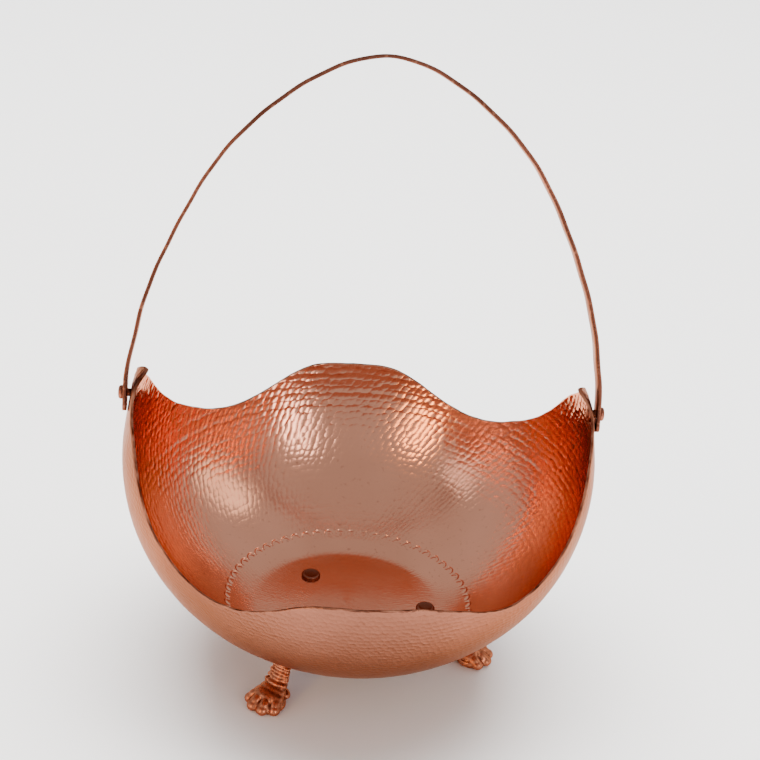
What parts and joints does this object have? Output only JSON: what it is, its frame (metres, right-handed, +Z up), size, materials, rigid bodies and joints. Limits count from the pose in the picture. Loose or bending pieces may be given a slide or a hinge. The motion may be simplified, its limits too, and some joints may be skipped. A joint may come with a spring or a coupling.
{
  "type": "copper basket",
  "caption": "Hammered round copper basket with a scalloped rim, a hinged strap handle over the top and cast paw feet, for holding logs, fruit or a plant pot.",
  "frame": {"origin": "on the ground, under the middle of the round bowl", "axes": "+Z up. +X runs along the handle's pivot line towards the ear on the right hand of someone facing the front lobe. -Y is the front, where one low lobe of the rim stands; the other lobe is at +Y"},
  "size_m": [0.2554, 0.2488, 0.3322],
  "materials": {
    "bowl_copper": "planished and polished copper",
    "handle_copper": "brown polished copper strap",
    "rivet_copper": "peened copper",
    "cast_copper": "copper-plated casting, bright on the high points"
  },
  "bodies": {
    "basket": {"bowl": "bowl_copper", "right_pivot_rivet": "rivet_copper", "left_pivot_rivet": "rivet_copper", "right_pivot_washer": "rivet_copper", "left_pivot_washer": "rivet_copper", "right_foot": "cast_copper", "front_left_foot": "cast_copper", "back_left_foot": "cast_copper", "right_foot_rivet": "rivet_copper", "front_left_foot_rivet": "rivet_copper", "back_left_foot_rivet": "rivet_copper"},
    "handle": {"handle": "handle_copper"}
  },
  "joints": [
    {"name": "handle_swing", "type": "hinge", "parent": "basket", "child": "handle", "pos_m": [0, 0, 0.15962], "axis": [1, 0, 0], "range_deg": [-71, 110]}
  ]
}
